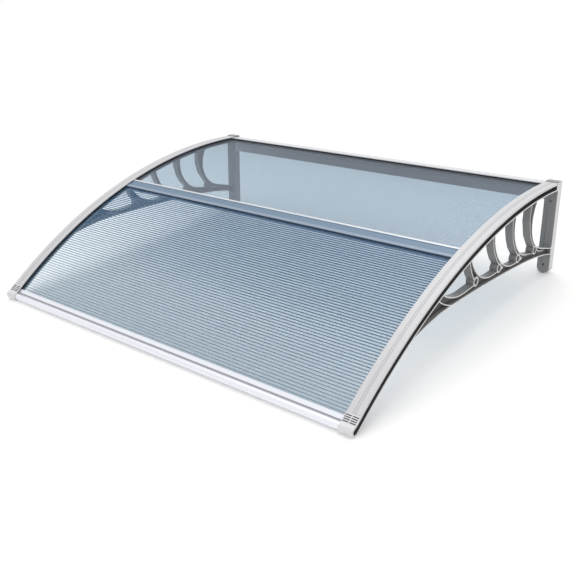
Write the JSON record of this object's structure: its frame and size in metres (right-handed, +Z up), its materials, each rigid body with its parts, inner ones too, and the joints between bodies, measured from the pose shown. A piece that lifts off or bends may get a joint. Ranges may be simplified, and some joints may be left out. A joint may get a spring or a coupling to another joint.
{
  "type": "door canopy",
  "caption": "Arched door canopy: a clear twin-wall sheet roof held in metal bars between moulded lattice brackets with wall plates.",
  "frame": {"origin": "centre of the rear bar's back face, which lies on the wall", "axes": "+X along the roof's width, +Y into the wall, +Z up; the roof juts out towards -Y"},
  "size_m": [1, 0.7791, 0.2921],
  "materials": {
    "grey_moulding": "satin moulded grey",
    "silver_strip": "satin anodised",
    "cap_moulding": "satin moulded light grey",
    "anodised_aluminium": "anodised",
    "black_rubber": "matte",
    "blue_polycarbonate": "clear blue tint",
    "dark_steel": "dark zinc"
  },
  "bodies": {
    "root": {"left_bracket": "grey_moulding", "right_bracket": "grey_moulding", "left_cover_strip": "silver_strip", "right_cover_strip": "silver_strip", "left_end_cap": "cap_moulding", "right_end_cap": "cap_moulding", "left_rear_seal": "black_rubber", "left_front_seal": "black_rubber", "right_rear_seal": "black_rubber", "right_front_seal": "black_rubber", "rear_bar_gasket": "black_rubber", "mid_bar_rear_gasket": "black_rubber", "mid_bar_front_gasket": "black_rubber", "front_sheet": "blue_polycarbonate", "rear_sheet": "blue_polycarbonate", "front_bar": "anodised_aluminium", "mid_bar": "anodised_aluminium", "rear_bar": "anodised_aluminium", "left_mid_screw": "dark_steel", "right_mid_screw": "dark_steel", "left_front_screw": "dark_steel", "right_front_screw": "dark_steel"}
  },
  "joints": []
}
